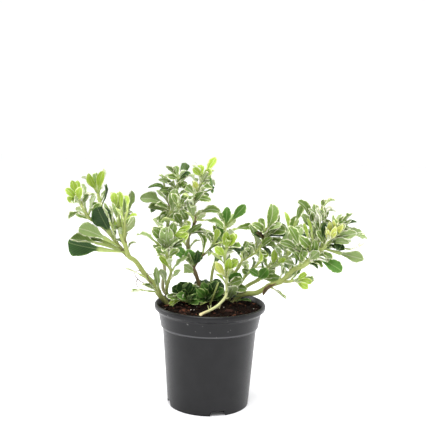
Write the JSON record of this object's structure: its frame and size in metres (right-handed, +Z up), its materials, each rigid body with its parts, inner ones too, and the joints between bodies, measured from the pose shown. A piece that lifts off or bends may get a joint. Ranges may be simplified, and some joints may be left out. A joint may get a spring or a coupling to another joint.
{
  "type": "potted variegated ground-cover plant",
  "caption": "Leafy ground-cover plant of arching stems with small spoon-shaped, cream-edged leaves, growing in soil in a round tapered nursery pot.",
  "frame": {"origin": "on the ground, at the middle of the plant's whole width and depth; the pot's axis stands about 4 mm left of it and 6 mm in front of it", "axes": "+Z up, +X to the right across the widest spread of the shoots as the plant is seen from the front, +Y towards the back"},
  "size_m": [0.2374, 0.1024, 0.2012],
  "materials": {
    "pot_plastic": "injection-moulded black polypropylene, satin",
    "potting_soil": "moist peat with bark chips",
    "variegated_leaf": "satin leaf, green with a cream margin",
    "pale_shoot": "satin, pale yellow-green",
    "shaded_leaf": "satin leaf, dark green"
  },
  "bodies": {
    "root": {"pot": "pot_plastic", "soil": "potting_soil", "left_shoot": "variegated_leaf", "back_left_shoot": "variegated_leaf", "mid_left_shoot": "variegated_leaf", "centre_left_shoot": "variegated_leaf", "back_centre_shoot": "variegated_leaf", "front_shoot": "pale_shoot", "centre_right_shoot": "variegated_leaf", "right_back_shoot": "variegated_leaf", "thin_back_shoot": "variegated_leaf", "right_shoot": "variegated_leaf", "low_left_shoot": "shaded_leaf", "low_centre_shoot": "shaded_leaf", "fallen_leaf": "shaded_leaf"}
  },
  "joints": []
}
